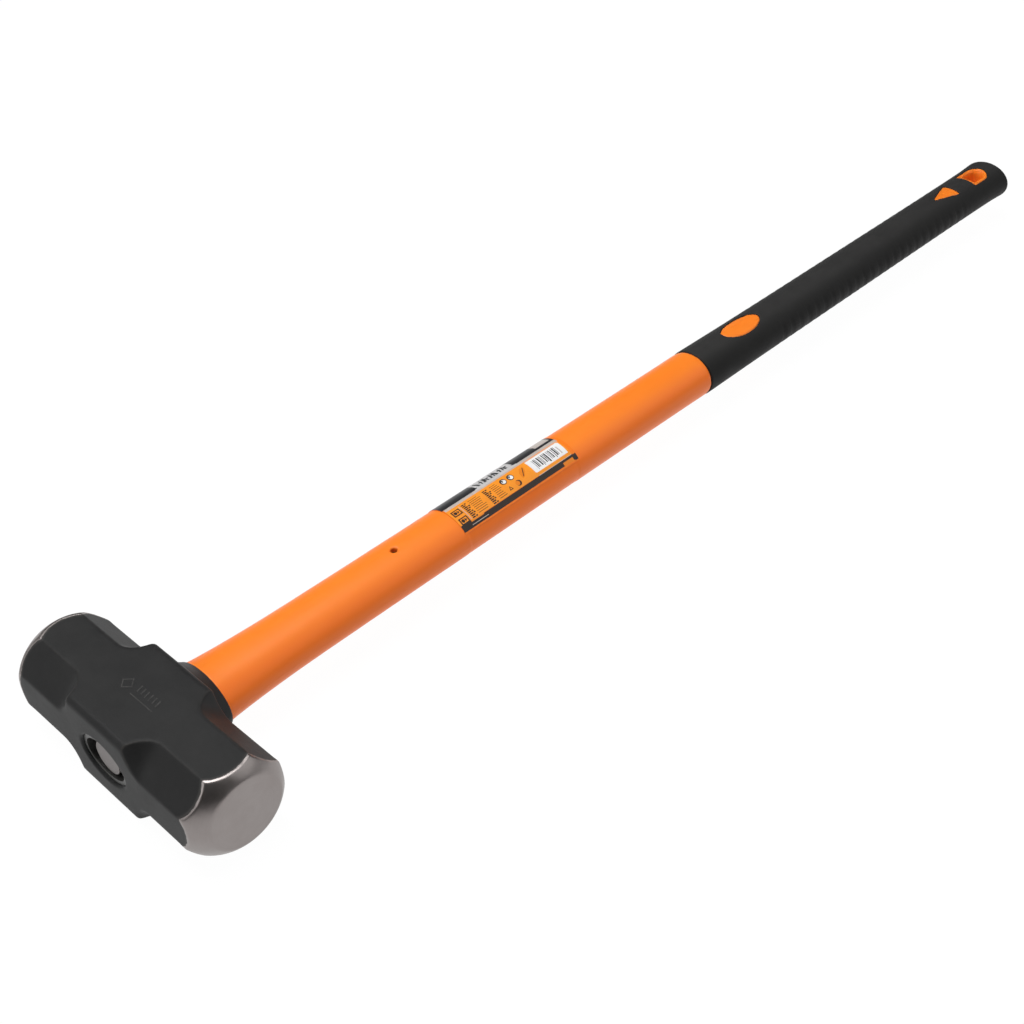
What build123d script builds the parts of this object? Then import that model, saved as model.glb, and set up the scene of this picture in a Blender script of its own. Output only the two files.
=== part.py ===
from build123d import *
from math import sqrt, sin, cos, radians
import os

# Sledgehammer, 8 lb class, in millimetres.
# The hammer lies on one cheek of its head. The origin is the centre of that cheek, on the floor.
# +X is the striking direction, +Y runs along the handle to the grip's end, +Z is up.

# Head: forged steel, square in the middle, octagonal towards both striking faces
HEAD_W = 58.4               # across the flats, both ways
HALF = HEAD_W / 2
HEAD_L = 167.6              # striking face to striking face
AXIS_Z = HALF               # height of the handle's axis above the floor
CHAMFER_Y = 15.8            # leg of the corner chamfer on the cheeks
CHAMFER_Z = 17.3            # leg of the corner chamfer on the eye faces
BLOCK_HALF = 25.0           # half length of the square middle
RUNOUT_R = 14.0             # concave run-out between chamfer and middle
MID_EDGE_R = 4.0            # rounding of the middle's long edges
FACE_R = 22.5               # flat part of the striking face
CROWN_X = 71.2              # where the ground crown starts, outside the octagon
CROWN_R = 33.0
CROWN_MID = (79.1, 28.1)    # a point half way down the crown
HEAD_SHIFT = -1.2           # the eye is punched slightly off the middle of the head
GRIND_RIGHT = (1.5, 1.1)    # the right crown is ground slightly off centre, in Y and Z

# Eye, tapered towards the front, with a collar on the handle side
COLLAR_Y = 38.3
EYE_FRONT = (19.0, 13.5)
EYE_BACK = (22.8, 16.6)
EYE_RIM = 1.4
RIM_WALL = 1.2

STAMP_DEPTH = 0.3

# Handle core: round pultruded fibreglass rod
CORE_R = 10.2
CORE_START = -26.0
CORE_END = 806.0

# Bond in the eye
BOND_TOP = 1.8              # land of the cast bond below the eye face
BOND_WALL = 2.4             # width of that land
BOND_WELL = 6.5             # depth of the well round the core's end
JACKET_START = 6.0

# Jacket, from the collar to the grip: position along the handle, half width, half height
JACKET = [
    (38.3, 22.8, 16.6),
    (44.0, 22.2, 16.15),
    (52.0, 21.6, 15.8),
    (60.0, 21.1, 15.5),
    (70.0, 20.6, 15.3),
    (80.0, 20.2, 15.15),
    (92.0, 19.85, 15.05),
    (110.0, 19.55, 15.05),
    (140.0, 19.35, 15.1),
    (180.0, 19.2, 15.2),
    (230.0, 19.1, 15.4),
    (290.0, 18.9, 15.6),
    (340.0, 18.65, 15.75),
    (400.0, 18.5, 16.0),
    (440.0, 18.5, 16.2),
    (465.5, 18.6, 16.4),
]
# Grip, outside
GRIP = [
    (465.5, 18.85, 16.65),
    (480.0, 18.8, 16.4),
    (500.0, 18.8, 15.95),
    (520.0, 18.85, 15.45),
    (545.0, 18.95, 15.05),
    (580.0, 19.0, 14.8),
    (640.0, 19.05, 14.55),
    (730.0, 19.05, 14.35),
    (790.0, 19.1, 14.25),
    (835.0, 19.25, 14.35),
    (855.0, 19.5, 14.5),
    (867.0, 20.0, 14.9),
    (875.4, 20.5, 15.3),
]
GRIP_START = 465.5
GRIP_END = 875.4
GRIP_T = 2.4                # rubber thickness
END_R = 3.6                 # rounding of the grip's end
END_CAP = 5.0               # rubber behind the jacket's end

# Grip windows, in which the jacket comes up nearly flush with the rubber
PAD_DROP = 0.4
OVAL_Y = 520.5
OVAL_L = 20.3
OVAL_W = 8.8
TRI_APEX = 781.5
TRI_BASE = 811.5
TRI_W = 8.4
DEE_FLAT = 833.8
DEE_W = 9.6
DEE_END = 859.5
DEE_RIM = 1.5               # flat rim of the hang hole's pad
DEE_FUNNEL = 2.2            # the funnel narrows the hole by this much
DEE_FUNNEL_H = 4.0

# Ribs on both sides of the grip
RIB_FIRST = 550.0
RIB_LAST = 800.0
RIB_PITCH = 10.5
RIB_GAP = 4.8
RIB_DEPTH = 1.1

# Locating hole left by the jacket's mould
PIN_Y = 179.5
PIN_R = 2.3

# Label: a thin printed film on the jacket
LABEL_START = 224.0
LABEL_END = 328.0
LABEL_T = 0.2
LABEL_EDGE = 15.9           # its free edge, to the right of the handle's top line


def across(y):
    # plane square to the handle
    return Plane(origin=(0, y, AXIS_Z), x_dir=(1, 0, 0), z_dir=(0, 1, 0))


def along(z):
    # horizontal plane
    return Plane.XY.offset(z)


def slope(rows, y):
    # half width and half height of a section table at y
    for low, high in zip(rows, rows[1:]):
        if low[0] <= y <= high[0]:
            t = (y - low[0]) / (high[0] - low[0])
            return (low[1] + t * (high[1] - low[1]), low[2] + t * (high[2] - low[2]))
    return rows[-1][1:]


os.makedirs("parts", exist_ok=True)

# ---------------------------------------------------------------- head
with BuildPart() as head:
    with BuildSketch(Plane.YZ.offset(HEAD_SHIFT - HEAD_L / 2)):
        with Locations((0, AXIS_Z)):
            RectangleRounded(HEAD_W, HEAD_W, MID_EDGE_R)
    extrude(amount=HEAD_L)

    # corner chamfers of both ends, each with a concave run-out at the middle
    depth = CHAMFER_Y * CHAMFER_Z / sqrt(CHAMFER_Y ** 2 + CHAMFER_Z ** 2)
    run = sqrt(RUNOUT_R ** 2 - (RUNOUT_R - depth) ** 2)
    turn_x = BLOCK_HALF + run
    mid_x = turn_x - RUNOUT_R * sin(radians(38))
    mid_d = depth - RUNOUT_R * (1 - cos(radians(38)))
    for sx in (1, -1):
        for sy in (1, -1):
            for sz in (1, -1):
                length = sqrt(CHAMFER_Y ** 2 + CHAMFER_Z ** 2)
                out = Vector(0, sy * CHAMFER_Z / length, sz * CHAMFER_Y / length)
                side = Vector(sx, 0, 0).cross(out)
                corner = Plane(
                    origin=(HEAD_SHIFT, sy * HALF, AXIS_Z + sz * HALF),
                    x_dir=(sx, 0, 0),
                    z_dir=(side.X, side.Y, side.Z),
                )
                with BuildSketch(corner):
                    with BuildLine():
                        ThreePointArc((BLOCK_HALF, 0), (mid_x, -mid_d), (turn_x, -depth))
                        Polyline(
                            (turn_x, -depth),
                            (HEAD_L, -depth),
                            (HEAD_L, 9),
                            (BLOCK_HALF, 9),
                            (BLOCK_HALF, 0),
                        )
                    make_face()
                extrude(amount=30, both=True, mode=Mode.SUBTRACT)

    # ground crowns: a turned shape that trims each end
    with BuildPart(mode=Mode.PRIVATE) as ground:
        for end, cy, cz in ((1, *GRIND_RIGHT), (-1, 0, 0)):
            axis_at = Plane(origin=(HEAD_SHIFT, cy, AXIS_Z + cz), x_dir=(end, 0, 0), z_dir=(0, 0, 1))
            with BuildSketch(axis_at):
                with BuildLine():
                    Polyline(
                        (CROWN_X, CROWN_R),
                        (CROWN_X - 12, CROWN_R + 14),
                        (0, CROWN_R + 14),
                        (0, 0),
                        (HEAD_L / 2, 0),
                        (HEAD_L / 2, FACE_R),
                    )
                    ThreePointArc((HEAD_L / 2, FACE_R), CROWN_MID, (CROWN_X, CROWN_R))
                make_face()
            revolve(axis=Axis((0, cy, AXIS_Z + cz), (1, 0, 0)))
    add(ground.part, mode=Mode.INTERSECT)

    # collar on the handle side
    for y, rx, rz in (
        (20.0, 24.5, 28.4),
        (HALF - 2.0, 25.6, 27.2),
        (HALF + 3.5, 25.2, 22.4),
        (COLLAR_Y, EYE_BACK[0] + RIM_WALL, EYE_BACK[1] + RIM_WALL),
    ):
        with BuildSketch(across(y)):
            Ellipse(rx, rz)
    loft()

    # eye
    with BuildSketch(across(-HALF)):
        Ellipse(*EYE_FRONT)
    with BuildSketch(across(COLLAR_Y)):
        Ellipse(*EYE_BACK)
    loft(mode=Mode.SUBTRACT)
    with BuildSketch(across(-HALF)):
        Ellipse(EYE_FRONT[0] + EYE_RIM, EYE_FRONT[1] + EYE_RIM)
    with BuildSketch(across(-HALF + EYE_RIM)):
        Ellipse(*EYE_FRONT)
    loft(mode=Mode.SUBTRACT)

    # shallow stamped mark on the upper cheek
    with BuildSketch(along(HEAD_W)):
        with Locations((-11, 0)):
            RegularPolygon(4.2, 4)
            RegularPolygon(3.2, 4, mode=Mode.SUBTRACT)
        with GridLocations(3.2, 1, 6, 1):
            with Locations((5.5, 2.0)):
                Rectangle(0.9, 4.6, rotation=-14)
        with Locations((5.5, -3.4)):
            Rectangle(19, 0.8)
    extrude(amount=-STAMP_DEPTH, mode=Mode.SUBTRACT)

head.part.label = "head"
export_step(head.part, "parts/head.step")


# ---------------------------------------------------------------- fibreglass core
with BuildPart() as core:
    with BuildSketch(across(CORE_START)):
        Circle(CORE_R)
    extrude(amount=CORE_END - CORE_START)

core.part.label = "fibreglass_core"
export_step(core.part, "parts/fibreglass_core.step")

# ---------------------------------------------------------------- shape of the whole grip
with BuildPart() as grip_shape:
    for y, rx, rz in GRIP:
        with BuildSketch(across(y)):
            Ellipse(rx, rz)
    loft(ruled=True)
    fillet(grip_shape.edges().sort_by(Axis.Y)[-1], END_R)


def dee(inset):
    # outline of the window at the grip's end, drawn smaller by inset: four corners, then the arc's top
    w = DEE_W - inset
    e = DEE_END - inset - w
    f = DEE_FLAT + inset
    return [(-w, e), (-w, f), (w, f), (w, e), (0, e + w)]


# ---------------------------------------------------------------- windows, as upright columns
with BuildPart() as windows:
    with BuildSketch(along(-5)):
        with Locations((0, OVAL_Y)):
            Ellipse(OVAL_W, OVAL_L)
        with BuildLine():
            Polyline(
                (0, TRI_APEX),
                (TRI_W, TRI_BASE),
                (-TRI_W, TRI_BASE),
                (0, TRI_APEX),
            )
        make_face()
        with BuildLine():
            a, b, c, d, top = dee(0)
            Polyline(a, b, c, d)
            ThreePointArc(d, top, a)
        make_face()
    extrude(amount=HEAD_W + 10)
    fillet(windows.edges().filter_by(Axis.Z), 1.2)

# ---------------------------------------------------------------- pads that fill the windows
with BuildPart() as pad_shape:
    for y, rx, rz in GRIP:
        with BuildSketch(across(y)):
            Ellipse(rx - PAD_DROP, rz - PAD_DROP)
    loft(ruled=True)
    add(windows.part, mode=Mode.INTERSECT)

# ---------------------------------------------------------------- hang hole, with a funnel at each mouth
with BuildPart() as hang_hole:
    with BuildSketch(along(-5)):
        with BuildLine():
            a, b, c, d, top = dee(DEE_RIM + DEE_FUNNEL)
            Polyline(a, b, c, d)
            ThreePointArc(d, top, a)
        make_face()
    extrude(amount=HEAD_W + 10)
    for side in (1, -1):
        mouth = AXIS_Z + side * (GRIP[-4][2] + 0.2)
        for inset, z in ((DEE_RIM, mouth), (DEE_RIM + DEE_FUNNEL, mouth - side * DEE_FUNNEL_H)):
            with BuildSketch(along(z)):
                with BuildLine():
                    a, b, c, d, top = dee(inset)
                    Polyline(a, b, c, d)
                    ThreePointArc(d, top, a)
                make_face()
        loft()

# ---------------------------------------------------------------- jacket
with BuildPart() as jacket:
    # sleeve from the collar to the grip
    for y, rx, rz in JACKET:
        with BuildSketch(across(y)):
            Ellipse(rx, rz)
    loft(ruled=True)
    # tang in the eye, against the eye's wall
    with BuildSketch(across(JACKET_START)):
        t = (JACKET_START + HALF) / (COLLAR_Y + HALF)
        Ellipse(
            EYE_FRONT[0] + t * (EYE_BACK[0] - EYE_FRONT[0]),
            EYE_FRONT[1] + t * (EYE_BACK[1] - EYE_FRONT[1]),
        )
    with BuildSketch(across(COLLAR_Y)):
        Ellipse(*EYE_BACK)
    loft(ruled=True)
    # thinner part under the rubber
    for y, rx, rz in GRIP:
        with BuildSketch(across(min(y, GRIP_END - END_CAP))):
            Ellipse(rx - GRIP_T, rz - GRIP_T)
    loft(ruled=True)
    # pads that fill the windows
    add(pad_shape.part)
    # hang hole through the last pad
    add(hang_hole.part, mode=Mode.SUBTRACT)
    # room for the core
    add(core.part, mode=Mode.SUBTRACT)
    # locating hole down to the core
    with BuildSketch(along(AXIS_Z)):
        with Locations((0, PIN_Y)):
            Circle(PIN_R)
    extrude(amount=20, mode=Mode.SUBTRACT)

jacket.part.label = "handle_jacket"
export_step(jacket.part, "parts/handle_jacket.step")

# ---------------------------------------------------------------- rubber grip
with BuildPart() as grip:
    add(grip_shape.part)
    add(jacket.part, mode=Mode.SUBTRACT)
    # the rubber stays clear of the windows, above the pads too
    add(windows.part, mode=Mode.SUBTRACT)
    add(core.part, mode=Mode.SUBTRACT)
    # ribs: gaps that are deepest at the sides and run out towards top and bottom
    count = round((RIB_LAST - RIB_FIRST) / RIB_PITCH)
    for i in range(count + 1):
        y = RIB_FIRST + i * RIB_PITCH
        rx, rz = slope(GRIP, y)
        with BuildSketch(across(y)):
            Ellipse(rx + 3, rz + 3)
            Ellipse(rx - RIB_DEPTH, rz + 0.3, mode=Mode.SUBTRACT)
        extrude(amount=RIB_GAP, mode=Mode.SUBTRACT)

grip.part.label = "rubber_grip"
export_step(grip.part, "parts/rubber_grip.step")

# ---------------------------------------------------------------- bond in the eye
with BuildPart() as bond:
    def eye_at(y):
        t = (y + HALF) / (COLLAR_Y + HALF)
        return (
            EYE_FRONT[0] + t * (EYE_BACK[0] - EYE_FRONT[0]),
            EYE_FRONT[1] + t * (EYE_BACK[1] - EYE_FRONT[1]),
        )
    for y in (-HALF + BOND_TOP, JACKET_START):
        with BuildSketch(across(y)):
            Ellipse(*eye_at(y))
    loft(ruled=True)
    with BuildSketch(across(-HALF)):
        Ellipse(EYE_FRONT[0] - BOND_WALL, EYE_FRONT[1] - BOND_WALL)
    extrude(amount=BOND_WELL, mode=Mode.SUBTRACT)
    add(core.part, mode=Mode.SUBTRACT)

bond.part.label = "eye_bond"
export_step(bond.part, "parts/eye_bond.step")

# ---------------------------------------------------------------- label
with BuildPart() as label:
    for y in (LABEL_START, 230.0, 290.0, LABEL_END):
        rx, rz = slope(JACKET, y)
        with BuildSketch(across(y)):
            Ellipse(rx + LABEL_T, rz + LABEL_T)
    loft(ruled=True)
    add(jacket.part, mode=Mode.SUBTRACT)
    add(core.part, mode=Mode.SUBTRACT)
    # only the top and the left side are covered
    with BuildSketch(across(LABEL_START)):
        with BuildLine():
            Polyline((LABEL_EDGE, 0), (LABEL_EDGE, -30), (-30, -30), (-30, 6), (LABEL_EDGE - 29, 6),
                     (LABEL_EDGE - 29, 0), (LABEL_EDGE, 0))
        make_face()
    extrude(amount=LABEL_END - LABEL_START, mode=Mode.INTERSECT)

label.part.label = "label_film"
export_step(label.part, "parts/label_film.step")
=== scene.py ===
import math

import bpy
import numpy as np
from mathutils import Matrix, Vector


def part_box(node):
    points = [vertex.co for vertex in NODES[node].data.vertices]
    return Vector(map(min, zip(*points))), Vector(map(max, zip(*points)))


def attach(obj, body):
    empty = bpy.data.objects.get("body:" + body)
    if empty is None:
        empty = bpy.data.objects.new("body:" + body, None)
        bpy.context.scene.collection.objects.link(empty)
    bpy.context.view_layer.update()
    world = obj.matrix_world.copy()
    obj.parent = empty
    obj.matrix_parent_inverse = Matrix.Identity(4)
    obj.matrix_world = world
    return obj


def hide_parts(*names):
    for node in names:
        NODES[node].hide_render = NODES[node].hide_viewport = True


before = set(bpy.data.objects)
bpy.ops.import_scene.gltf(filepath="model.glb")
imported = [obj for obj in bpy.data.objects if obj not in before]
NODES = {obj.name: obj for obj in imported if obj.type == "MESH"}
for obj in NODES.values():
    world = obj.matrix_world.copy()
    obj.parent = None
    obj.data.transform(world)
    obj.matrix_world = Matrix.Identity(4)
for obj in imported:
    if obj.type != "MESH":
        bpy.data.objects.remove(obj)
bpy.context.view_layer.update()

MM = 0.001

# Sizes of the part that the looks depend on, in metres
AXIS_Z = (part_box("head")[0][2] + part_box("head")[1][2]) / 2
HEAD_MID_X = (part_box("head")[0][0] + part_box("head")[1][0]) / 2
HEAD_HALF_X = (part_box("head")[1][0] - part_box("head")[0][0]) / 2


# ---------------------------------------------------------------- camera
def look_from(azimuth, elevation, roll, place, focal):
    a, e, r = (math.radians(v) for v in (azimuth, elevation, roll))
    back = Vector((math.sin(a) * math.cos(e), -math.cos(a) * math.cos(e), math.sin(e)))
    right = Vector((math.cos(a), math.sin(a), 0))
    up = back.cross(right)
    right, up = (
        right * math.cos(r) + up * math.sin(r),
        up * math.cos(r) - right * math.sin(r),
    )
    m = Matrix((right, up, back)).transposed().to_4x4()
    m.translation = Vector(place)
    cam = bpy.data.objects.new("camera", bpy.data.cameras.new("camera"))
    cam.data.sensor_width = 36
    cam.data.lens = focal
    cam.data.clip_start = 0.01
    cam.data.clip_end = 30
    cam.matrix_world = m
    bpy.context.scene.collection.objects.link(cam)
    bpy.context.scene.camera = cam
    return cam


look_from(43.788, 39.749, -0.114, (0.51149, -0.25218, 0.59778 + AXIS_Z), 52.18)


# ---------------------------------------------------------------- node helpers
class Tree:
    """A material's node tree, with short calls for the nodes used here."""

    def __init__(self, name):
        self.mat = bpy.data.materials.new(name)
        self.mat.use_nodes = True
        self.nodes = self.mat.node_tree.nodes
        self.links = self.mat.node_tree.links
        self.shader = self.nodes["Principled BSDF"]
        self.place = self.nodes.new("ShaderNodeTexCoord").outputs["Object"]

    def put(self, node, key, value):
        socket = node.inputs[key]
        if isinstance(value, bpy.types.NodeSocket):
            self.links.new(value, socket)
        elif hasattr(socket.default_value, "__len__") and hasattr(value, "__len__"):
            value = tuple(value)
            if len(socket.default_value) == 4 and len(value) == 3:
                value += (1.0,)
            socket.default_value = value
        else:
            socket.default_value = value

    def math(self, kind, a, b=0.0):
        n = self.nodes.new("ShaderNodeMath")
        n.operation = kind
        self.put(n, 0, a)
        self.put(n, 1, b)
        return n.outputs[0]

    def plus(self, a, b):
        return self.math("ADD", a, b)

    def minus(self, a, b):
        return self.math("SUBTRACT", a, b)

    def times(self, a, b):
        return self.math("MULTIPLY", a, b)

    def size(self, value):
        return self.math("ABSOLUTE", value)

    def reach(self, a, b):
        """Distance from (0, 0) to (a, b)."""
        return self.math("SQRT", self.plus(self.times(a, a), self.times(b, b)))

    def xyz(self, vector):
        n = self.nodes.new("ShaderNodeSeparateXYZ")
        self.put(n, 0, vector)
        return n.outputs

    def join(self, x, y, z):
        n = self.nodes.new("ShaderNodeCombineXYZ")
        for i, v in enumerate((x, y, z)):
            self.put(n, i, v)
        return n.outputs[0]

    def scaled(self, vector, by):
        n = self.nodes.new("ShaderNodeVectorMath")
        n.operation = "MULTIPLY"
        self.put(n, 0, vector)
        self.put(n, 1, by)
        return n.outputs[0]

    def noise(self, scale, detail=3.0, rough=0.5, vector=None):
        n = self.nodes.new("ShaderNodeTexNoise")
        self.put(n, "Vector", vector or self.place)
        for key, v in (("Scale", scale), ("Detail", detail), ("Roughness", rough)):
            self.put(n, key, v)
        return n.outputs["Fac"]

    def cells(self, scale):
        n = self.nodes.new("ShaderNodeTexVoronoi")
        self.put(n, "Vector", self.place)
        self.put(n, "Scale", scale)
        return n.outputs["Distance"]

    def fit(self, value, a, b, c=0.0, d=1.0, smooth=False):
        """value's range a to b stretched to c to d, and held there outside it."""
        n = self.nodes.new("ShaderNodeMapRange")
        n.interpolation_type = "SMOOTHSTEP" if smooth else "LINEAR"
        n.clamp = True
        for i, v in enumerate((value, a, b, c, d)):
            self.put(n, i, v)
        return n.outputs[0]

    def mix(self, fac, a, b):
        n = self.nodes.new("ShaderNodeMix")
        n.data_type = "RGBA"
        self.put(n, 0, fac)
        self.put(n, 6, a)
        self.put(n, 7, b)
        return n.outputs[2]

    def value(self, name):
        """A number stored at each point of the mesh."""
        n = self.nodes.new("ShaderNodeAttribute")
        n.attribute_name = name
        return n.outputs["Fac"]

    def within(self, value, middle, half, soft=0.00012):
        """1 where value is within half of middle, with soft edges."""
        off = self.size(self.minus(value, middle))
        return self.fit(off, half - soft, half + soft, 1.0, 0.0)

    def bump(self, height, distance, strength=1.0, normal=None):
        n = self.nodes.new("ShaderNodeBump")
        self.put(n, "Height", height)
        self.put(n, "Distance", distance)
        self.put(n, "Strength", strength)
        if normal is not None:
            self.put(n, "Normal", normal)
        return n.outputs[0]

    def finish(self, **sockets):
        names = {
            "color": "Base Color",
            "rough": "Roughness",
            "metal": "Metallic",
            "normal": "Normal",
            "specular": "Specular IOR Level",
            "subsurface": "Subsurface Weight",
            "sheen": "Sheen Weight",
            "sheen_rough": "Sheen Roughness",
        }
        for key, v in sockets.items():
            self.put(self.shader, names[key], v)
        return self.mat


# ---------------------------------------------------------------- materials
# The ground crown's profile is an arc: its centre along the head and out from the
# axis, and its radius
CROWN_ALONG, CROWN_OUT, CROWN_RADIUS = 0.06152, 0.00857, 0.02628
# The crown begins this far from the head's middle
CROWN_FROM = 0.066
# The right end is ground off centre by this much along the handle and upwards
GRIND_Y, GRIND_Z = 0.0015, 0.0011
# Plane of the stamped mark's cheek above the head's axis, less a little
CHEEK = 0.0285


def head_material():
    t = Tree("forged_head")
    x, y, z = t.xyz(t.place)
    right = t.math("GREATER_THAN", x, 0.0)
    dy = t.minus(y, t.times(right, GRIND_Y))
    dz = t.minus(z, t.plus(AXIS_Z, t.times(right, GRIND_Z)))
    r = t.reach(dy, dz)
    ax = t.size(t.minus(x, HEAD_MID_X))
    out = t.reach(t.minus(ax, CROWN_ALONG), t.minus(r, CROWN_OUT))
    crown = t.math("GREATER_THAN", ax, CROWN_FROM)
    # bare steel: the crown up to a slightly ragged edge of coat, and the face
    ragged = t.plus(
        t.fit(t.noise(140, 2, 0.5), 0.3, 0.7, -0.00022, 0.00022),
        t.fit(t.noise(600, 2, 0.5), 0.3, 0.7, -0.00006, 0.00006),
    )
    near = t.fit(t.plus(out, ragged), CROWN_RADIUS - 0.00100, CROWN_RADIUS - 0.00080)
    end = t.math("GREATER_THAN", ax, HEAD_HALF_X - 0.0009)
    bare = t.math("MAXIMUM", t.times(near, crown), end)
    # powder coat: fine orange peel, faint mottling and dust
    peel = t.noise(2200, 2, 0.5)
    lumps = t.noise(240, 3, 0.5)
    mottle = t.noise(45, 5, 0.6)
    dust = t.fit(t.noise(800, 6, 0.75), 0.62, 0.80)
    black = t.mix(t.fit(mottle, 0.35, 0.7), (0.0175, 0.0175, 0.0177), (0.0230, 0.0230, 0.0230))
    black = t.mix(t.times(dust, 0.10), black, (0.10, 0.095, 0.09))
    # a thin worn line of coat along the ground edge
    worn = t.times(t.fit(out, CROWN_RADIUS - 0.0018, CROWN_RADIUS - 0.0010), crown)
    black = t.mix(t.times(worn, 0.35), black, (0.09, 0.085, 0.08))
    # painted highlight: the coat is painted paler along the forging's raised edges, in place of the
    # light they catch
    painted_edge_highlight = t.times(t.value("painted_light"), t.fit(t.noise(90, 4, 0.6), 0.35, 0.65, 0.35, 1.0))
    black = t.mix(t.times(painted_edge_highlight, 0.6), black, (0.052, 0.049, 0.046))
    # plain stamped mark on the upper cheek: a diamond, six leaning strokes and a line under them
    lean = t.plus(x, t.times(y, 0.25))
    phase = t.math("FRACT", t.times(t.plus(lean, 0.004), 1 / 0.0032))
    stroke = t.times(t.within(phase, 0.5, 0.14, 0.05), t.within(lean, 0.0056, 0.0096))
    stroke = t.times(stroke, t.within(y, 0.002, 0.0023))
    line = t.times(t.within(x, 0.0055, 0.0095), t.within(y, -0.0034, 0.0004))
    diamond = t.within(t.plus(t.size(t.minus(x, -0.011)), t.size(y)), 0.0039, 0.0005)
    stamp = t.math("MAXIMUM", t.math("MAXIMUM", stroke, line), diamond)
    faint = t.fit(t.noise(300, 3, 0.6), 0.35, 0.6, 0.35, 1.0)
    stamp = t.times(stamp, t.times(t.math("GREATER_THAN", z, AXIS_Z + CHEEK), faint))
    black = t.mix(t.times(stamp, 0.5), black, (0.085, 0.083, 0.08))
    # ground steel: fine turning marks round the face
    marks = t.noise(1, 3, 0.7, t.join(t.times(r, 5200), t.times(ax, 900), 0))
    haze = t.noise(60, 4, 0.6)
    steel = t.mix(t.fit(haze, 0.3, 0.7), (0.255, 0.228, 0.220), (0.295, 0.268, 0.260))
    steel = t.mix(t.fit(marks, 0.35, 0.75, 0, 0.35), steel, (0.22, 0.20, 0.19))
    color = t.mix(bare, black, steel)
    smoother = t.times(bare, t.plus(-0.17, t.fit(haze, 0.3, 0.7, 0, 0.08)))
    rough = t.plus(smoother, t.fit(mottle, 0.3, 0.7, 0.46, 0.54))
    coat = t.minus(1.0, bare)
    normal = t.bump(t.times(lumps, coat), 0.0003, 0.25)
    normal = t.bump(t.minus(1.0, stamp), 0.0002, 0.8, normal)
    normal = t.bump(t.times(peel, coat), 0.00008, 0.45, normal)
    normal = t.bump(t.times(marks, bare), 0.00002, 0.4, normal)
    # the crown was ground by hand, so it is not quite even
    uneven = t.times(t.noise(95, 1, 0.4), t.times(bare, t.fit(r, 0.021, 0.024)))
    normal = t.bump(uneven, 0.0012, 0.35, normal)
    return t.finish(color=color, rough=rough, metal=bare, normal=normal, specular=0.12)


def jacket_material():
    t = Tree("jacket_plastic")
    x, _, z = t.xyz(t.place)
    flow = t.noise(3, 3, 0.5, t.scaled(t.place, (14, 2.2, 14)))
    fine = t.noise(3800, 2, 0.5)
    smear = t.noise(40, 5, 0.65, t.scaled(t.place, (1, 0.22, 1)))
    color = t.mix(t.fit(flow, 0.3, 0.7), (0.85, 0.200, 0.016), (0.89, 0.222, 0.020))
    color = t.mix(t.fit(smear, 0.45, 0.75, 0, 0.12), color, (0.78, 0.165, 0.012))
    # painted shade: the sides are painted a slightly deeper, darker orange than the top, as if less
    # light reached them
    side = t.fit(t.size(x), 0.006, 0.0175, smooth=True)
    color = t.mix(side, color, (0.84, 0.165, 0.010))
    # parting line of the mould along both sides
    seam = t.fit(t.size(t.minus(z, AXIS_Z)), 0.0, 0.0003, 1.0, 0.0)
    normal = t.bump(fine, 0.00002, 0.35)
    normal = t.bump(seam, 0.00012, 0.5, normal)
    rough = t.fit(smear, 0.3, 0.75, 0.36, 0.46)
    t.shader.inputs["Subsurface Radius"].default_value = (0.004, 0.0015, 0.0006)
    t.shader.inputs["Subsurface Scale"].default_value = 0.6
    return t.finish(color=color, rough=rough, normal=normal, subsurface=0.08, specular=0.3)


def grip_material():
    t = Tree("grip_rubber")
    fine = t.noise(3000, 3, 0.6)
    mottle = t.noise(60, 5, 0.6)
    color = t.mix(t.fit(mottle, 0.3, 0.7), (0.0245, 0.0240, 0.0238), (0.0300, 0.0295, 0.0290))
    # painted shade: the textured sides are painted a darker black than the smooth band along the
    # top, as if the light fell off round them
    side = t.fit(t.size(t.xyz(t.place)[0]), 0.003, 0.0165, smooth=True)
    color = t.mix(side, color, (0.0115, 0.0114, 0.0112))
    # painted shade: the hollows between the ribs are painted darker, where shade falls in them
    color = t.mix(t.times(t.value("painted_light"), 0.6), color, (0.0050, 0.0049, 0.0048))
    normal = t.bump(fine, 0.00005, 0.6)
    rough = t.fit(mottle, 0.3, 0.7, 0.55, 0.68)
    gloss = {"sheen": 0.02, "sheen_rough": 0.5, "specular": 0.12}
    return t.finish(color=color, rough=rough, normal=normal, **gloss)


def bond_material():
    t = Tree("cast_bond")
    lumps = t.noise(160, 4, 0.6)
    color = t.mix(lumps, (0.022, 0.022, 0.021), (0.05, 0.049, 0.046))
    rough = t.fit(lumps, 0.3, 0.7, 0.3, 0.5)
    return t.finish(color=color, rough=rough, normal=t.bump(lumps, 0.0004, 0.8))


def core_material():
    t = Tree("glass_fibre_rod")
    ends = t.cells(3200)
    ring = t.noise(220, 4, 0.6)
    color = t.mix(t.fit(ends, 0.1, 0.5), (0.275, 0.255, 0.25), (0.20, 0.18, 0.175))
    color = t.mix(t.fit(ring, 0.4, 0.7, 0, 0.5), color, (0.22, 0.20, 0.19))
    return t.finish(color=color, rough=0.55, normal=t.bump(ends, 0.0001, 0.5))


def ink(name, low, high):
    """A printed colour: slightly uneven ink on a satin film."""
    t = Tree(name)
    grain = t.noise(1800, 3, 0.6)
    patch = t.noise(90, 3, 0.5)
    color = t.mix(t.fit(grain, 0.3, 0.7), low, high)
    color = t.mix(t.fit(patch, 0.45, 0.75, 0, 0.25), color, [c * 0.8 for c in low])
    rough = t.fit(patch, 0.3, 0.7, 0.31, 0.39)
    return t.finish(color=color, rough=rough, normal=t.bump(grain, 0.00001, 0.3), specular=0.22)


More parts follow.
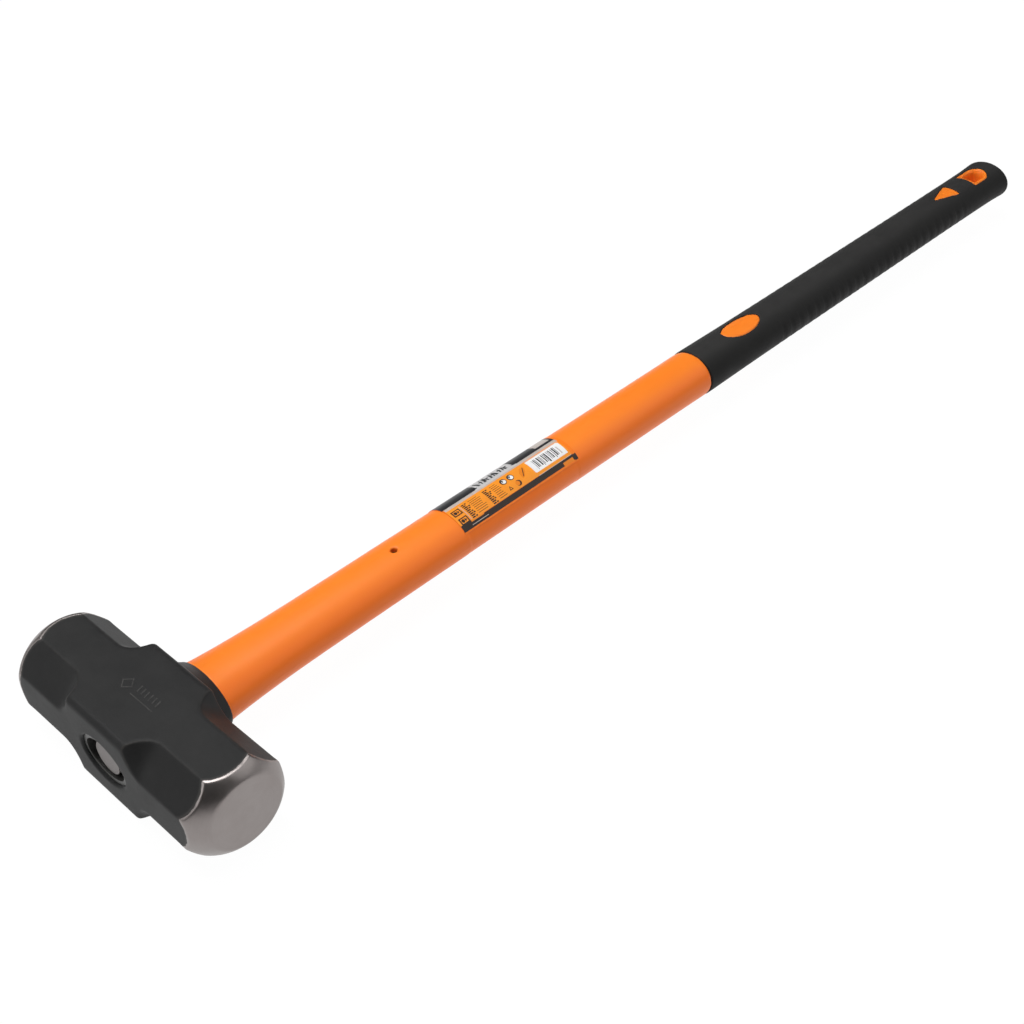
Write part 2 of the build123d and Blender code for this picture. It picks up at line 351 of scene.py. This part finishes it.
# ---------------------------------------------------------------- softened pieces
def remeshed(node, voxel):
    """A CAD node's surface as an even quad mesh: its points and its faces."""
    src = bpy.data.objects.new("source", NODES[node].data.copy())
    bpy.context.scene.collection.objects.link(src)
    mod = src.modifiers.new("even", "REMESH")
    mod.mode = "VOXEL"
    mod.voxel_size = voxel
    graph = bpy.context.evaluated_depsgraph_get()
    mesh = bpy.data.meshes.new_from_object(src.evaluated_get(graph))
    bpy.data.objects.remove(src)
    co = np.empty(len(mesh.vertices) * 3)
    mesh.vertices.foreach_get("co", co)
    corner = np.empty(len(mesh.loops), dtype=np.int64)
    mesh.loops.foreach_get("vertex_index", corner)
    bpy.data.meshes.remove(mesh)
    return co.reshape(-1, 3), corner.reshape(-1, 4)


def relaxed(co, faces, passes, weight):
    """Rounds a mesh's edges: each point moves towards the middle of its neighbours."""
    a = np.concatenate((faces.ravel(), np.roll(faces, -1, 1).ravel()))
    b = np.concatenate((np.roll(faces, -1, 1).ravel(), faces.ravel()))
    n = len(co)
    count = np.maximum(np.bincount(a, minlength=n), 1)
    for _ in range(passes):
        total = np.stack([np.bincount(a, co[b, i], minlength=n) for i in range(3)], 1)
        co = co + (total / count[:, None] - co) * (0.5 * weight)[:, None]
    return co


def piece(name, co, faces, material, nodes, painted_light=None):
    """A smooth piece that stands for its CAD nodes, kept inside the first one's box."""
    low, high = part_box(nodes[0])
    co = np.clip(co, np.array(low), np.array(high))
    used = np.unique(faces)
    index = np.full(len(co), -1)
    index[used] = np.arange(len(used))
    mesh = bpy.data.meshes.new(name)
    mesh.from_pydata(co[used].tolist(), [], index[faces].tolist())
    mesh.shade_smooth()
    # painted light: a number at each point that the material turns into painted highlight or
    # painted shade
    if painted_light is not None:
        mesh.attributes.new("painted_light", "FLOAT", "POINT").data.foreach_set("value", painted_light[used])
    mesh.materials.append(material)
    obj = bpy.data.objects.new(name, mesh)
    bpy.context.scene.collection.objects.link(obj)
    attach(obj, "root")
    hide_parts(*nodes)
    return obj


def step(value, low, high):
    """0 below low, 1 above high, and a smooth rise between."""
    t = np.clip((value - low) / (high - low), 0, 1)
    return t * t * (3 - 2 * t)


# Grain of the remeshed pieces, and how many times their edges are rounded
HEAD_VOXEL, GRIP_VOXEL, JACKET_VOXEL = 0.0006, 0.0006, 0.0008
HARD_PASSES, SOFT_PASSES = 14, 9
# Half width and half height: of the eye's mouth, of the skins that touch the next piece, and of the
# grip's fullest section
EYE_HALF = (0.019, 0.0135)
GRIP_SKIN, JACKET_SKIN = (0.0189, 0.0145), (0.0189, 0.0148)
GRIP_HALF = (0.0203, 0.01665)
# Middle and half length of the oval window, and where the windows near the grip's end begin
OVAL_Y, OVAL_REACH, WINDOWS_FROM = 0.5205, 0.027, 0.776
# How much of the ribs' hollows is filled
RIB_FILL = 0.78
# Place of the round locating hole along the handle
HOLE_Y = 0.1795


def forged_head():
    co, faces = remeshed("head", HEAD_VOXEL)
    x, y, z = co[:, 0], co[:, 1], co[:, 2]
    ax = np.abs(x - HEAD_MID_X)
    right = x > 0
    r = np.hypot(y - GRIND_Y * right, z - AXIS_Z - GRIND_Z * right)
    # the forging's own edges are round; the ground crown and the rims of the eye and the collar are
    # crisper
    weight = np.ones(len(co))
    out = np.hypot(ax - CROWN_ALONG, r - CROWN_OUT)
    ground = step(out, CROWN_RADIUS - 0.003, CROWN_RADIUS - 0.001) * (ax > CROWN_FROM)
    weight -= 0.72 * ground
    eye = np.hypot(x / EYE_HALF[0], (z - AXIS_Z) / EYE_HALF[1])
    weight *= 1 - 0.75 * step(-eye, -1.35, -1.2)
    weight *= 1 - 0.6 * step(y, 0.034, 0.037)
    flat = (ax > HEAD_HALF_X - 0.0002) & (r < 0.0215)
    face_x = np.where(right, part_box("head")[1][0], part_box("head")[0][0])
    sharp = co
    co = relaxed(co, faces, HARD_PASSES, weight)
    # how far a raised edge was rounded down tells where the painted edge highlight goes
    corners = co[faces]
    side = np.cross(corners[:, 2] - corners[:, 0], corners[:, 3] - corners[:, 1])
    side = np.repeat(side, 4, 0)
    at, n = faces.ravel(), len(co)
    normal = np.stack([np.bincount(at, side[:, i], minlength=n) for i in range(3)], 1)
    normal /= np.maximum(np.linalg.norm(normal, axis=1), 1e-12)[:, None]
    painted_light = step(((sharp - co) * normal).sum(1), 0.00006, 0.0004)
    co[flat, 0] = face_x[flat]
    return piece("forged_head", co, faces, head_material(), ["head"], painted_light)


def soft_grip():
    co, faces = remeshed("rubber_grip", GRIP_VOXEL)
    low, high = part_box("rubber_grip")
    x, y, z = co[:, 0], co[:, 1], co[:, 2] - AXIS_Z
    # the inner skin lies against the jacket and is never seen
    depth = 1 - np.hypot(x / GRIP_SKIN[0], z / GRIP_SKIN[1])
    hidden = (depth > 0.105) & (y > low[1] + 0.003) & (y < high[1] - 0.007)
    keep = ~hidden[faces].all(1)
    # the ribs are soft: their hollows are filled most of the way to the crests, which are the
    # largest k within 6 mm along the grip at the same turn from the top line
    turn = np.abs(np.arctan2(x, z))
    k = np.hypot(x / GRIP_HALF[0], z / GRIP_HALF[1])
    cell = ((turn * 30).astype(int), ((y - low[1]) / MM).astype(int))
    crest = np.zeros((96, cell[1].max() + 1))
    np.maximum.at(crest, cell, k)
    crest = np.max([np.roll(crest, i, 1) for i in range(-6, 7)], 0)
    crest = np.mean([np.roll(crest, i, 1) for i in range(-3, 4)], 0)
    gap = np.clip(crest[cell] - k, 0, 1)
    zone = step(y, 0.540, 0.545) * (1 - step(y, 0.806, 0.812)) * (gap < 0.09)
    zone *= np.where(y > 0.775, step(turn, 0.50, 0.62), step(turn, 0.28, 0.40))
    zone *= 1 - step(turn, 2.5, 2.8)
    co = co.copy()
    co[:, 0] *= 1 + RIB_FILL * zone * gap / k
    co[:, 2] = AXIS_Z + z * (1 + RIB_FILL * zone * gap / k)
    # painted shade: how deep each point sits in a rib's hollow, for darkening in the grip's colour
    painted_groove_shade = zone * step(gap, 0.022, 0.055)
    # the windows' rims stay crisper
    rims = (np.abs(y - OVAL_Y) < OVAL_REACH) | (y > WINDOWS_FROM)
    weight = 0.8 - 0.45 * (rims & (turn < 0.75) & (y < 0.866))
    co = relaxed(co, faces, SOFT_PASSES, weight)
    faces = faces[keep]
    return piece("soft_grip", co, faces, grip_material(), ["rubber_grip"], painted_groove_shade)


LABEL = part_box("label_film")


def moulded_jacket():
    co, faces = remeshed("handle_jacket", JACKET_VOXEL)
    y = co[:, 1]
    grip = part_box("rubber_grip")[0][1]
    x, z = co[:, 0], co[:, 2] - AXIS_Z
    # the bore round the core and the skin under the rubber are never seen
    depth = 1 - np.hypot(x / JACKET_SKIN[0], z / JACKET_SKIN[1])
    bore = (np.hypot(x, z) < 0.0115) & (y > 0.01) & (y < 0.80)
    covered = (depth > 0.1) & (y > grip + 0.003) & (y < 0.826)
    keep = ~(bore | covered)[faces].all(1)
    pads = step(y, grip - 0.002, grip + 0.002)
    hole = 1 - step(np.hypot(x, y - HOLE_Y), 0.0035, 0.006)
    weight = (1 - 0.75 * pads) * (1 - 0.8 * hole * (z > 0))
    co = relaxed(co, faces, HARD_PASSES, weight)
    # it lies just under the label's film
    first, last = LABEL[0][1], LABEL[1][1]
    under = step(y, first + 0.001, first + 0.003) * (1 - step(y, last - 0.003, last - 0.001))
    under *= 0.011 * (depth < 0.1)
    co[:, 0] *= 1 - under
    co[:, 2] -= (co[:, 2] - AXIS_Z) * under
    faces, plastic = faces[keep], jacket_material()
    return piece("moulded_jacket", co, faces, plastic, ["handle_jacket"])


def paint(node, material):
    obj = NODES[node]
    obj.data.materials.clear()
    obj.data.materials.append(material)


# ---------------------------------------------------------------- printed label


def film_section(y):
    """Half width and half height of the film's outside at y, from its own points."""
    co = np.array([v.co[:] for v in NODES["label_film"].data.vertices])
    co = co[np.abs(co[:, 1] - y) < 0.001]
    return -co[:, 0].min(), co[:, 2].max() - AXIS_Z


# where the film's profile bends, along the handle
BENDS = (LABEL[0][1], 0.230, 0.290, LABEL[1][1])
FILM = np.array([film_section(y) for y in BENDS])
# Widest strip that the print is bent in, and the height of one level of it
STRIP, LEVEL = 0.0009, 0.00002


def label_print():
    """The label's print: thin shapes laid on the film, each in its own ink, with no lettering.

    Shapes are given in mm: along the handle from the film's end next to the head, and across from
    the handle's top line, positive towards +X. A higher level lies over a lower one.
    """
    inks = [
        ink("ink_orange", (0.80, 0.26, 0.022), (0.86, 0.30, 0.028)),
        ink("ink_black", (0.018, 0.018, 0.020), (0.026, 0.026, 0.028)),
        ink("ink_brown", (0.024, 0.018, 0.015), (0.034, 0.025, 0.021)),
        ink("ink_grey", (0.42, 0.37, 0.34), (0.50, 0.45, 0.42)),
        ink("ink_white", (0.72, 0.72, 0.73), (0.80, 0.80, 0.81)),
        ink("ink_amber", (0.72, 0.20, 0.014), (0.78, 0.23, 0.018)),
        ink("ink_pale", (0.44, 0.43, 0.43), (0.54, 0.53, 0.53)),
    ]
    ORANGE, BLACK, BROWN, GREY, WHITE, AMBER, PALE = range(7)
    points, faces, slots = [], [], []
    # distance across the film from the top line, as a table over the turn round the handle
    rx = -LABEL[0][0]
    rz = LABEL[1][2] - AXIS_Z
    turn = np.linspace(-2.0, 2.0, 1601)
    px, pz = rx * np.sin(turn), rz * np.cos(turn)
    arc = np.concatenate(([0], np.cumsum(np.hypot(np.diff(px), np.diff(pz)))))
    arc -= np.interp(0, turn, arc)
    y0 = LABEL[0][1]

    def lay(outline, color, level):
        """A convex outline, cut into narrow strips and bent over the film."""
        outline = [(a * MM + y0, c * MM) for a, c in outline]
        low = min(c for a, c in outline)
        high = max(c for a, c in outline)
        cuts = max(1, math.ceil((high - low) / STRIP))
        for i in range(cuts):
            c0 = low + (high - low) * i / cuts
            c1 = low + (high - low) * (i + 1) / cuts
            for b0, b1 in zip(BENDS, BENDS[1:]):
                part = clip(clip(outline, 1, c0, 1), 1, c1, -1)
                part = clip(clip(part, 0, b0, 1), 0, b1, -1)
                if len(part) < 3:
                    continue
                start = len(points)
                for a, c in part:
                    t = float(np.interp(c, arc, turn))
                    lift = LEVEL * (1 + level)
                    wx, wz = (np.interp(a, BENDS, FILM[:, i]) + lift for i in (0, 1))
                    points.append((wx * math.sin(t), a, AXIS_Z + wz * math.cos(t)))
                faces.append(tuple(range(start, len(points))))
                slots.append(color)

    def clip(outline, axis, at, sign):
        """The part of an outline past a line across axis, on the side that sign gives."""
        out = []
        for p, q in zip(outline, outline[1:] + outline[:1]):
            d0, d1 = (p[axis] - at) * sign, (q[axis] - at) * sign
            if d0 >= 0:
                out.append(p)
            if (d0 > 0 > d1) or (d0 < 0 < d1):
                f = d0 / (d0 - d1)
                out.append(tuple(u + f * (v - u) for u, v in zip(p, q)))
        return out

    def bar(a0, a1, c0, c1, color, level):
        lay([(a0, c0), (a1, c0), (a1, c1), (a0, c1)], color, level)

    def disc(a, c, r, color, level):
        turns = [math.tau * i / 20 for i in range(20)]
        lay([(a + r * math.cos(t), c + r * math.sin(t)) for t in turns], color, level)

    # ground colours, from one long edge to the other
    bar(0.0, 101.5, -22.0, -4.6, BLACK, 1)
    lay([(29.5, -4.4), (32.5, -6.4), (62.0, -6.4), (65.0, -4.4)], PALE, 2)
    bar(31.0, 63.5, -17.0, -6.2, PALE, 2)
    bar(86.5, 99.5, -17.0, -7.2, GREY, 2)
    bar(1.0, 70.0, -4.6, -2.0, GREY, 1)
    bar(29.0, 66.0, -5.0, -3.3, PALE, 3)
    bar(70.0, 101.5, -4.6, -1.2, GREY, 1)
    bar(0.5, 101.0, -2.0, 12.6, ORANGE, 1)
    bar(0.2, 101.5, 12.9, 16.9, BROWN, 1)
    bar(101.0, 103.8, 13.2, 17.6, BROWN, 1)
    bar(0.2, 8.8, 12.2, 16.9, BROWN, 2)
    bar(8.8, 19.5, 12.5, 13.5, AMBER, 2)
    bar(8.0, 22.0, 15.1, 15.5, GREY, 3)
    bar(70.0, 100.5, 12.6, 12.95, GREY, 3)
    bar(91.0, 100.0, 14.6, 17.2, AMBER, 3)
    # pattern in the middle of the upper stripe: slanted strokes of different widths
    widths = (1.7, 0.9, 2.1, 1.1, 1.5, 0.8, 1.9, 1.2, 0.9, 1.7)
    at = 33.6
    for i, w in enumerate(widths):
        lean = 1.6 if i % 3 else -1.2
        lay([(at, -6.0), (at + w, -6.0), (at + w + lean, -12.4), (at + lean, -12.4)], BLACK, 4)
        if i % 2:
            bar(at - 0.2, at + w + 1.1, -9.8, -8.6, BLACK, 5)
        at += w + 1.35
    # two pictogram blocks at the head end
    for c in (0.6, 7.6):
        bar(1.8, 8.6, c, c + 4.9, BROWN, 2)
        bar(2.7, 7.7, c + 0.8, c + 4.1, ORANGE, 3)
        disc(4.2, c + 2.45, 1.25, BROWN, 4)
        lay([(5.7, c + 1.2), (7.4, c + 2.45), (5.7, c + 3.7)], BROWN, 4)
    bar(9.6, 10.1, -0.5, 12.0, GREY, 2)
    # columns of short strokes that stand for small print
    for a0, rows in ((11.2, 9), (29.6, 9)):
        for i in range(rows):
            c = 0.2 + i * 1.38
            a1 = a0 + 2.1 + 1.4 * ((i * 7) % 5) / 5
            bar(a0, a1, c, c + 0.92, BROWN, 2)
            if i % 3 != 1:
                bar(a1 + 0.5, a1 + 1.9, c, c + 0.92, BROWN, 2)
    for i in range(8):
        c = 0.4 + i * 1.5
        bar(17.0, 24.5 + 2.5 * ((i * 3) % 4) / 4, c, c + 0.34, BROWN, 2)
        bar(36.0, 41.0 + 2.0 * ((i * 5) % 4) / 4, c, c + 0.34, BROWN, 2)
    # two round marks, and a triangle and a crescent beside them
    for a in (46.6, 53.0):
        disc(a, 2.6, 2.5, BLACK, 2)
        disc(a + 0.25, 2.75, 1.75, WHITE, 3)
        lay([(a - 1.4, 1.2), (a + 0.5, 1.5), (a - 0.6, 3.4)], BLACK, 4)
    lay([(45.4, 10.6), (48.6, 10.6), (47.0, 7.6)], BROWN, 2)
    lay([(46.2, 10.1), (47.8, 10.1), (47.0, 8.6)], ORANGE, 3)
    disc(54.4, 9.2, 2.2, BROWN, 2)
    disc(53.7, 9.0, 1.7, AMBER, 3)
    # a plain leaf shape
    lay([(59.6, 4.2), (62.4, 1.2), (66.0, 0.6), (65.0, 4.0), (61.8, 7.6), (59.2, 8.6)], AMBER, 2)
    lay([(60.4, 7.4), (60.9, 7.6), (65.2, 1.6), (64.8, 1.3)], BROWN, 3)
    # panel of bars
    panel = [(69.6, -0.8), (99.0, -0.8), (100.0, 0.2), (99.6, 10.4), (70.4, 10.4), (69.6, 9.6)]
    lay(panel, WHITE, 2)
    at = 73.6
    for i in range(15):
        w = (0.35, 0.8, 0.5, 1.1, 0.4)[i % 5]
        bar(at, at + w, 1.0, 8.2 if i % 4 else 9.2, BLACK, 3)
        at += w + (0.75, 0.5, 1.15)[i % 3]
    bar(95.4, 96.3, 2.0, 8.6, GREY, 3)

    mesh = bpy.data.meshes.new("label_print")
    mesh.from_pydata(points, [], faces)
    for m in inks:
        mesh.materials.append(m)
    mesh.polygons.foreach_set("material_index", slots)
    mesh.shade_smooth()
    mesh.update()
    obj = bpy.data.objects.new("label_print", mesh)
    bpy.context.scene.collection.objects.link(obj)
    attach(obj, "root")
    return obj


forged_head()
soft_grip()
moulded_jacket()
label_print()
paint("eye_bond", bond_material())
paint("fibreglass_core", core_material())
paint("label_film", ink("label_base", (0.84, 0.180, 0.012), (0.87, 0.200, 0.016)))


# ---------------------------------------------------------------- floor and light
def floor():
    """A plain pale floor with a soft glow, just under the part."""
    mesh = bpy.data.meshes.new("floor")
    s = 6.0
    mesh.from_pydata([(-s, -s, 0), (s, -s, 0), (s, s, 0), (-s, s, 0)], [], [(0, 1, 2, 3)])
    obj = bpy.data.objects.new("floor", mesh)
    obj.location.z = -0.0002
    bpy.context.scene.collection.objects.link(obj)
    t = Tree("studio_floor")
    color = t.mix(t.noise(2, 3, 0.5), (0.028, 0.028, 0.028), (0.034, 0.034, 0.034))
    t.shader.inputs["Emission Color"].default_value = (1, 1, 1, 1)
    t.shader.inputs["Emission Strength"].default_value = 0.98
    mesh.materials.append(t.finish(color=color, rough=0.9, specular=0.0))


def softbox(name, place, aim, size, power):
    light = bpy.data.lights.new(name, "AREA")
    light.shape = "RECTANGLE"
    light.size, light.size_y = size
    light.energy = power
    obj = bpy.data.objects.new(name, light)
    obj.location = place
    obj.rotation_euler = (Vector(aim) - Vector(place)).to_track_quat("-Z", "Y").to_euler()
    bpy.context.scene.collection.objects.link(obj)
    return obj


floor()
softbox("key", (-0.45, 0.1, 1.9), (0, 0.3, 0), (1.3, 1.7), 46)
softbox("right", (1.3, 1.45, 1.45), (0, 0.15, 0), (2.1, 2.0), 16)
softbox("front", (-1.0, -1.6, 1.0), (0, 0.1, 0), (1.2, 1.0), 8.5)
world = bpy.data.worlds.new("studio")
world.use_nodes = True
sky = world.node_tree
spot = sky.nodes.new("ShaderNodeTexCoord")
height = sky.nodes.new("ShaderNodeSeparateXYZ")
fade = sky.nodes.new("ShaderNodeMapRange")
# a pale sweep round the table, darker overhead
for socket, v in (("From Min", 0.05), ("From Max", 0.55), ("To Min", 0.75), ("To Max", 0.28)):
    fade.inputs[socket].default_value = v
sky.links.new(spot.outputs["Generated"], height.inputs[0])
sky.links.new(height.outputs["Z"], fade.inputs["Value"])
# the backdrop itself is as pale as the floor, and only its light is weak
path = sky.nodes.new("ShaderNodeLightPath")
shown = sky.nodes.new("ShaderNodeMix")
shown.inputs[3].default_value = 17.0
sky.links.new(path.outputs["Is Camera Ray"], shown.inputs[0])
sky.links.new(fade.outputs[0], shown.inputs[2])
sky.links.new(shown.outputs[0], sky.nodes["Background"].inputs[1])
bpy.context.scene.world = world
bpy.context.scene.view_settings.view_transform = "Standard"
